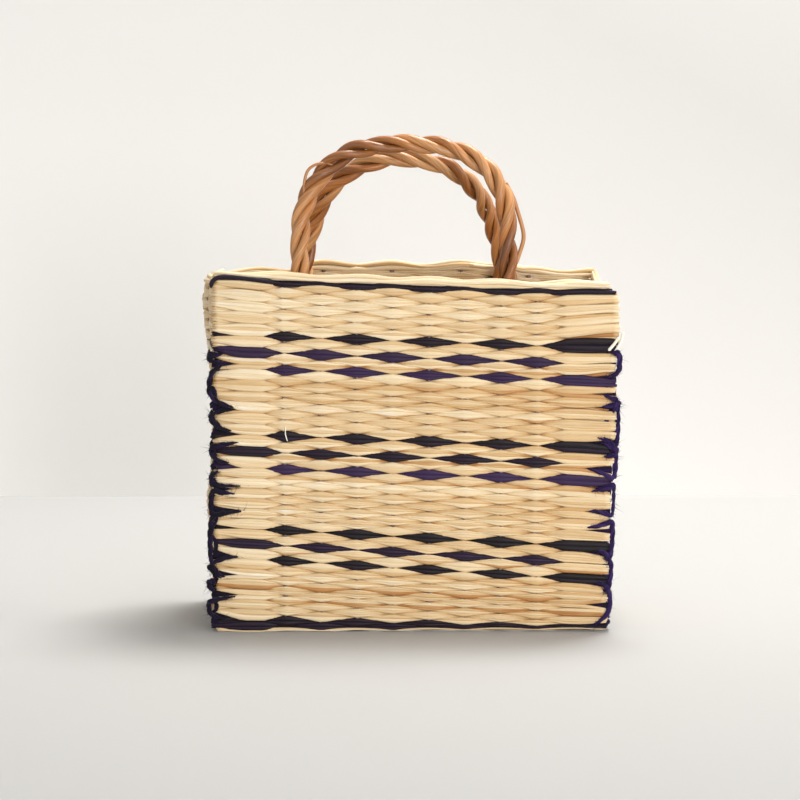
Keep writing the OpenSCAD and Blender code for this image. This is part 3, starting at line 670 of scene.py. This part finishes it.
def wads(rows, draw):
    """Yarn that goes through the gaps to the inside: a flat wedge in each gap that grows from a fine
    point out to the edge, as row, distance in from the edge and height over the mat, and its sizes."""
    each = (len(rows), 1)
    out = np.linspace(0, 1, wad_rings)[None, :]
    deep = draw.uniform(*wad_deep, each)
    row = rows[:, None] + 0 * out
    line = np.stack([row, deep * (1 - out) + wad_past, wad_over - out + 0 * row], -1)
    size = draw.uniform(*wad_sizes, each) * (wad_point + (1 - wad_point) * out ** wad_power)
    thick = wad_thick * (wad_thin + (1 - wad_thin) * out) * np.sqrt(size)
    return line, {"high": wad_high * size, "thick": thick,
                  "tint": draw.uniform(0, wad_tint, each) + 0 * size,
                  "id": draw.uniform(0, grain_span, each)}


def add_seam(name, side, tones, front_lengths, front_seams, far_seams, edges, seed):
    """All yarn of one side mat: down both corners on wall and side, and along the foot."""
    draw = np.random.default_rng(seed)

    def even_run(places, reach, tall):
        """Lines of yarn between stitches at even places."""
        return curve_through(lashing(even_lengths(places, reach, draw), tall, draw), yarn_rings)

    far_z = np.append(rear_height(far_seams, side * half_w + 0 * far_seams), yarn_foot_z)
    again = front_lengths + draw.normal(0, 1, front_lengths.shape) * again_shift
    again[:, 4:] *= draw.uniform(*again_deep, again[:, 4:].shape)
    front = curve_through(np.concatenate([lashing(front_lengths, front_tall, draw),
                                          lashing(again, again_tall, draw, again_slack)]), yarn_rings)
    row_heights = front_height(np.arange(last_row), side * half_w)
    front_rows = np.interp(-front[..., 0], -row_heights, np.arange(last_row))
    edge = np.interp(front_rows, end_rows, edges) - edge_in
    rear = even_run(far_z, wall_reach, rear_tall)
    runs = [np.stack([side * (edge - front[..., 1]), -wall_middle - front[..., 2], front[..., 0]], -1),
            np.stack([side * (half_w + rear_out - rear[..., 1]), wall_middle + rear[..., 2],
                      rear[..., 0]], -1)]
    for corner in (-1, 1):
        flank = even_run(far_z, side_reach, side_tall)
        runs.append(np.stack([side * (side_middle + rear_out + flank[..., 2]),
                              corner * (half_d - flank_in - flank[..., 1]), flank[..., 0]], -1))
    foot = even_run(np.linspace(-side_half, side_half, foot_stitches + 2), foot_reach, side_tall)
    runs.append(np.stack([side * (side_middle + foot[..., 2]), foot[..., 0], foot_up + foot[..., 1]], -1))
    hairs_each = (front_hairs,) + (other_hairs,) * 4
    parts, hairs = zip(*(yarn_surface(*run, draw) for run in zip(runs, tones, hairs_each)))
    wad, fills = wads(front_seams, draw)
    x = side * (np.interp(wad[..., 0], end_rows, edges) - edge_in - wad[..., 1])
    fills["middle"] = np.stack([x, -wall_middle - wad[..., 2], front_height(wad[..., 0], x)], -1)
    fills = swept(fills, upward, np.array([0, side, 0]), ply_sides)
    add_piece(f"{name}_yarn", joined([p for pair in parts for p in pair] + [fills]), wool, "wool_yarn",
              f"{name}_seam_yarn")
    add_piece(f"{name}_yarn_hair", joined(list(hairs)), wool, "wool_yarn", f"{name}_seam_yarn")


add_seam("left", -1, (dark_tone, violet_tone, dark_tone, violet_tone, dark_tone),
         front_left_lengths, seam_rows_left, seam_rows_rear + 1, left_ends, seed=121)
add_seam("right", 1, (violet_tone,) * 5,
         front_right_lengths, seam_rows_right, seam_rows_rear, right_ends, seed=131)


# Loose ends: the dyed reed of the rim line that turns down round the left ends, two frayed tips of
# pith at the right edge, and a white cotton thread caught on a warp of the middle band.
loose_rings, thin_end, thin_run = 40, 0.35, 8
turned_high, turned_thick, tip_highs, tip_thick, thread_r = 1.35, 0.8, (0.95, 0.9), 0.45, 0.32
turned_tint, pith_tint, white_tint = 0.3, 0.02, 0.0


def loose_end(name, points, high, thick, tint, material, slot, cad):
    """A flat strip through a few points, thinner at both ends."""
    line = curve_through(np.array([points]), loose_rings)
    ends = np.linspace(0, 1, loose_rings)[None, :]
    size = thin_end + (1 - thin_end) * smooth(thin_run * np.minimum(ends, 1 - ends))
    along = unit(np.gradient(line, axis=1))
    across = unit(np.cross(along, outward))
    strip = {"middle": line, "high": high * size, "thick": thick * size,
             "tint": np.full(size.shape, tint), "id": np.full((1, 1), grain_span)}
    surface = swept(strip, across[:, :, None, :], np.cross(across, along)[:, :, None, :], reed_sides)
    add_piece(name, surface, material, slot, cad)


loose_end("turned_reed", [(-76, -50.3, 209.3), (-95, -50.6, 211.9), (-108, -50.6, 213.2),
                          (-114, -50.4, 212.7), (-117.2, -50, 210.4), (-118.2, -49.4, 206.6)],
          turned_high, turned_thick, turned_tint, dyed, "dyed_rush", "front_dyed_reeds")
loose_end("frayed_tip_1", [(123.2, -50.6, 177.5), (120.2, -51, 173.4), (116.8, -51, 169.4)],
          tip_highs[0], tip_thick, pith_tint, rush, "rush", "folded_mat")
loose_end("frayed_tip_2", [(125.6, -50.2, 180.5), (124.2, -50.6, 174.6), (120.6, -50.8, 168.2)],
          tip_highs[1], tip_thick, pith_tint, rush, "rush", "folded_mat")
loose_end("white_thread", [(-74.4, -50.2, 124.4), (-74.6, -51.1, 120), (-73.4, -50.6, 115.4)],
          thread_r, thread_r, white_tint, rush, "rush", "folded_mat")


# Handles: three peeled willow rods twisted into a rope and bent into an arch, the front one leaning
# to the rear and the lower rear one leaning to the front; the legs stand inside the long walls.
rod_wide, rod_flat = 2.95, 2.65
helix_r, twist_pitch, rope_rods = 3.25, 52, 3
handle_half, handle_shift = 62, -4
leg_depth, leg_y, lean_power = 60, 38.82, 1.5
leg_rings, arch_rings, rod_rings, rod_sides = 60, 200, 230, 16
rod_strays, rod_shifts = ((0.2, 23), (0.08, 11)), ((0.08, 17), (0.04, 9))
rod_swells, rod_shades = ((0.08, 21), (0.03, 6)), ((0.25, 24),)
rod_sizes, rod_tints, rod_apart = (0.94, 1.06), (0.4, 0.65), 7.0
front_arch = {"rise": 79, "leg_rise": 18, "powers": (2.4, 2.7), "lean": 14, "skew": 0}
rear_arch = {"rise": 69.6, "leg_rise": 6, "powers": (2.05, 2.15), "lean": 36, "skew": 1.4}
# The bows of the rear handle's legs: side, size, height over the rim, and reach up and down.
rear_bows = ((-1, 3.6, 30, 22), (1, -3.5, 28, 22))
willow_dark, willow_mid, willow_light = (0.15, 0.045, 0.010), (0.49, 0.185, 0.048), (0.80, 0.45, 0.20)
willow = reed_material("willow", [(0.0, willow_dark), (0.45, willow_mid), (1.0, willow_light)],
                       rough=0.36, streak_depth=0.5, bump=0.7, gloss=0.45, fine=800)


def handle_line(rise, leg_rise, powers, lean, skew):
    """Middle line of a handle: straight legs, and an arch whose width and height follow the 2/power
    powers of cosine and sine, with a power for each half; the top leans over with a power of its
    height."""
    legs = np.linspace(-leg_depth, leg_rise, leg_rings)[:-1]
    t = np.linspace(0, np.pi, arch_rings)
    power = np.where(t < np.pi / 2, *powers)
    arch_x = -handle_half * np.sign(np.cos(t)) * np.abs(np.cos(t)) ** (2 / power)
    arch_z = leg_rise + (rise - leg_rise) * np.sin(t).clip(0) ** (2 / power) + skew * np.sin(2 * t)
    x = np.concatenate([0 * legs - handle_half, arch_x, 0 * legs + handle_half]) + handle_shift
    z = np.concatenate([legs, arch_z, legs[::-1]])
    y = lean * (z.clip(0) / rise) ** lean_power - leg_y
    line = np.stack([x, y, z + rim_z], -1)
    run = np.concatenate([[0], np.cumsum(np.linalg.norm(np.diff(line, axis=0), axis=1))])
    even = np.linspace(0, run[-1], rod_rings)
    return np.stack([np.interp(even, run, line[:, i]) for i in range(3)], -1), even


def handle_rods(line, run, seed):
    """The rods of a handle wound round its middle line, each a tube that swells and thins, moves in
    and out and strays round the rope a little."""
    draw = np.random.default_rng(seed)
    each = (rope_rods, 1)
    along = unit(np.gradient(line, axis=0))
    across = unit(np.cross([0, 1.0, 0], along))
    back = np.cross(along, across)

    def waves(kinds):
        """Sines along the rope for each rod, of a size and a length, at chance starts."""
        return sum(size * np.sin(run / length + draw.uniform(0, 2 * np.pi, each)) for size, length in kinds)

    turn = 2 * np.pi * (run[None, :] / twist_pitch + np.arange(rope_rods)[:, None] / rope_rods)
    turn = turn + waves(rod_strays)
    radial = np.cos(turn)[..., None] * across + np.sin(turn)[..., None] * back
    around = np.cos(turn)[..., None] * back - np.sin(turn)[..., None] * across
    middle = line + (helix_r * (1 + waves(rod_shifts)))[..., None] * radial
    swell = draw.uniform(*rod_sizes, each) * (1 + waves(rod_swells))
    tint = draw.uniform(*rod_tints, each) + waves(rod_shades)
    rods = {"middle": middle, "high": rod_flat * swell, "thick": rod_wide * swell, "tint": tint,
            "id": seed + rod_apart * np.arange(rope_rods)[:, None]}
    return [swept({k: v[i:i + 1] for k, v in rods.items()}, radial[i:i + 1, :, None, :],
                  around[i:i + 1, :, None, :], rod_sides) for i in range(rope_rods)]


for name, arch, seed in (("front", front_arch, 101), ("rear", rear_arch, 111)):
    line, run = handle_line(**arch)
    if name == "rear":
        line = line * np.array([1, -1, 1])
        for side, bow, bow_z, bow_run in rear_bows:
            bowed = np.exp(-((line[:, 2] - rim_z - bow_z) / bow_run) ** 2)
            line[:, 0] += bow * (side * line[:, 0] > 0) * bowed
    for number, surface in enumerate(handle_rods(line, run, seed), 1):
        add_piece(f"{name}_rod_{number}", surface, willow, "willow", f"{name}_handle_rod_{number}")


# Shoots: two thin side shoots of willow that sprang out of the front handle at its shoulders, one
# bowed along the right leg and one looped over the left shoulder.
shoot_rings, shoot_sides, shoot_tint = 40, 10, 0.6
shoot_thin, shoot_run = 0.75, 3


def add_shoot(name, points, radius):
    """A round shoot through a few points, a little thinner at its first one."""
    line = curve_through(np.array([points]), shoot_rings)
    growth = smooth(np.linspace(0, shoot_run, shoot_rings))
    size = np.full(line.shape[:2], radius) * (shoot_thin + (1 - shoot_thin) * growth)
    shoot = {"middle": line, "high": size, "thick": size, "tint": np.full(size.shape, shoot_tint),
             "id": np.array([[radius]])}
    add_piece(name, tubes(shoot, shoot_sides), willow, "willow", "front_handle_rod_1")


add_shoot("front_shoot", [(56.8, -30.5, 268.0), (60.6, -31, 260.5), (63.4, -31.5, 252.0),
                          (67.2, -33.5, 237.0), (64.6, -36, 226.0), (60.5, -38, 214.0),
                          (59, -38.8, 196.0)], 1.25)
add_shoot("front_loop", [(-45, -29.5, 277.6), (-50.5, -30, 279.4), (-56.5, -31, 278.7),
                         (-61.0, -32, 275.4), (-63.0, -33, 269.6), (-63.4, -34, 263.0),
                         (-62, -35, 254.0)], 0.9)


# Bindings of linen twine round the legs, inside the walls: they keep the shape of the CAD and get
# the finish of a fibre.
twine_dark, twine_light = (0.62, 0.50, 0.30), (0.72, 0.60, 0.38)
twine = reed_material("twine", [(0.0, twine_dark), (1.0, twine_light)], rough=0.8, streak_depth=0.3, bump=0.6)
for name in ("front_left", "front_right", "rear_left", "rear_right"):
    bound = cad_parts[f"{name}_binding"]
    bound.data.materials.clear()
    bound.data.materials.append(twine)


# Studio: a pale floor against a pale wall with painted light and shade on both, darker to the right,
# the floor darker towards the front and the wall darker higher up; soft light from above, and the photo's
# camera.
darkest, brightest, matt = 0.7, 1.2, 0.9
wall_y, floor_front, stage_reach = 0.48, 1.6, 5.0
floor_colour, floor_painted_light = (0.43, 0.425, 0.415), (-0.05, 0.2, 0)
wall_colour, wall_painted_light = (0.82, 0.81, 0.795), (-0.36, 0, -0.66)
bag_middle = (0, 0, 0.13)
warm, cool, white = (1.0, 0.97, 0.93), (0.97, 0.98, 1.0), (1.0, 0.99, 0.97)
world_light, world_seen = 0.45, 0.9
camera_place = (-0.0178, -1.550, 0.316)
camera_pitch, camera_yaw, camera_field = 6.69, -0.43, 17.86


def pale_material(name, colour, slope):
    """A matt finish whose colour changes along x, y and z by a share of itself for each metre, as painted
    light and shade. The sheet has one side only, so that the bag can be looked at from behind too."""
    material = bpy.data.materials.new(name)
    material.use_nodes = True
    tree = material.node_tree
    place = node(tree, "ShaderNodeTexCoord")
    share = node(tree, "ShaderNodeVectorMath", [(0, place, "Object")], operation="DOT_PRODUCT")
    # The slope is painted light and shade over the sheet.
    share.inputs[1].default_value = slope
    level = node(tree, "ShaderNodeMath", [(0, share, "Value")], operation="ADD")
    level.inputs[1].default_value = 1.0
    kept = node(tree, "ShaderNodeClamp", [("Value", level, 0)], Min=darkest, Max=brightest)
    tone = node(tree, "ShaderNodeVectorMath", [("Scale", kept, 0)], operation="SCALE")
    tone.inputs[0].default_value = colour
    surface = tree.nodes["Principled BSDF"]
    surface.inputs["Roughness"].default_value = matt
    tree.links.new(tone.outputs["Vector"], surface.inputs["Base Color"])
    back = node(tree, "ShaderNodeNewGeometry")
    clear = node(tree, "ShaderNodeBsdfTransparent")
    sided = node(tree, "ShaderNodeMixShader",
                 [(0, back, "Backfacing"), (1, surface, "BSDF"), (2, clear, "BSDF")])
    tree.links.new(sided.outputs["Shader"], tree.nodes["Material Output"].inputs["Surface"])
    return material


def add_area(name, place, size, power, colour):
    """A square soft light that looks at the middle of the bag."""
    light = bpy.data.lights.new(name, "AREA")
    light.size, light.energy, light.color = size, power, colour
    lamp, aim = new_object(name, light), new_object(name + "_aim", None)
    lamp.location, aim.location = place, bag_middle
    track = lamp.constraints.new("TRACK_TO")
    track.target, track.track_axis, track.up_axis = aim, "TRACK_NEGATIVE_Z", "UP_Y"


def add_sheet(name, corners, colour, slope):
    """One flat stage face."""
    mesh = bpy.data.meshes.new(name)
    mesh.from_pydata(corners, [], [(0, 1, 2, 3)])
    mesh.materials.append(pale_material(name, colour, slope))
    sheet = new_object(name, mesh)


add_sheet("floor", [(-stage_reach, -floor_front, 0), (stage_reach, -floor_front, 0),
                    (stage_reach, wall_y, 0), (-stage_reach, wall_y, 0)], floor_colour, floor_painted_light)
add_sheet("wall", [(-stage_reach, wall_y, 0), (stage_reach, wall_y, 0), (stage_reach, wall_y, stage_reach),
                   (-stage_reach, wall_y, stage_reach)], wall_colour, wall_painted_light)
add_area("key", (0.9, -1.85, 0.46), size=1.0, power=27.5, colour=warm)
add_area("fill", (-1.1, -1.7, 0.4), size=1.4, power=6, colour=cool)
add_area("window", (1.5, -0.15, 1.0), size=0.8, power=8, colour=white)
add_area("top", (0.25, 0.3, 1.4), size=0.5, power=27, colour=white)

world = bpy.data.worlds.new("studio")
world.use_nodes = True
sky_tree = world.node_tree
sky = sky_tree.nodes["Background"]
sky.inputs["Color"].default_value = (*white, 1)
path = node(sky_tree, "ShaderNodeLightPath")
seen = node(sky_tree, "ShaderNodeMath", [(0, path, "Is Camera Ray"), (1, path, "Is Glossy Ray")],
            operation="ADD")
seen = node(sky_tree, "ShaderNodeMath", [(0, seen, 0), (1, path, "Is Transmission Ray")],
            operation="MAXIMUM")
strength = node(sky_tree, "ShaderNodeMapRange", [("Value", seen, 0)])
strength.inputs["To Min"].default_value, strength.inputs["To Max"].default_value = world_light, world_seen
sky_tree.links.new(strength.outputs["Result"], sky.inputs["Strength"])
bpy.context.scene.world = world

camera_data = bpy.data.cameras.new("camera")
camera_data.angle = np.radians(camera_field)
camera = new_object("camera", camera_data)
camera.location = camera_place
camera.rotation_euler = (np.radians(90 - camera_pitch), 0, np.radians(camera_yaw))
bpy.context.scene.camera = camera
bpy.context.scene.view_settings.view_transform = "Standard"
